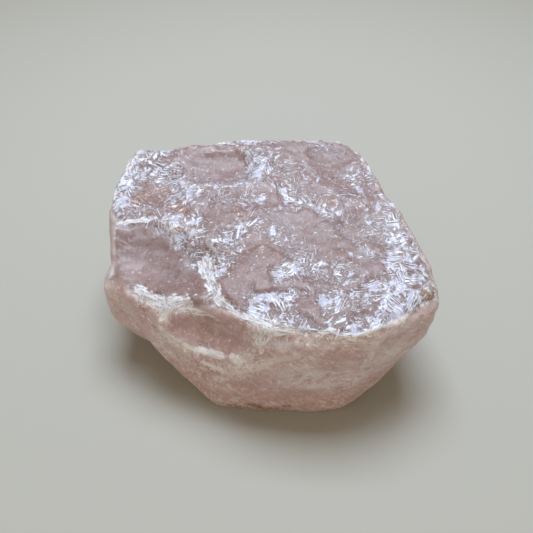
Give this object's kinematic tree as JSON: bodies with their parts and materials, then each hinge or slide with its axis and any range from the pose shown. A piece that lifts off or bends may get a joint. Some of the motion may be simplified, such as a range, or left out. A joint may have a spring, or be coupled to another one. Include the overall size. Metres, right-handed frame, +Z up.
{
  "type": "rose quartz chunk",
  "caption": "Rough chunk of rose quartz with a broad chipped and ledged top, scooped fracture faces and undercut walls that taper to a smaller flat foot.",
  "frame": {"origin": "on the ground, under the middle of the stone's box", "axes": "+Z up, -Y towards the pictured front, +X to the right seen from the front, along the stone's greatest length"},
  "size_m": [0.1478, 0.1232, 0.0737],
  "materials": {
    "rose_quartz": "milky translucent pink quartz, glassy on fracture faces and frosted lilac-white where it is chipped"
  },
  "bodies": {
    "root": {"rose_quartz": "rose_quartz"}
  },
  "joints": []
}
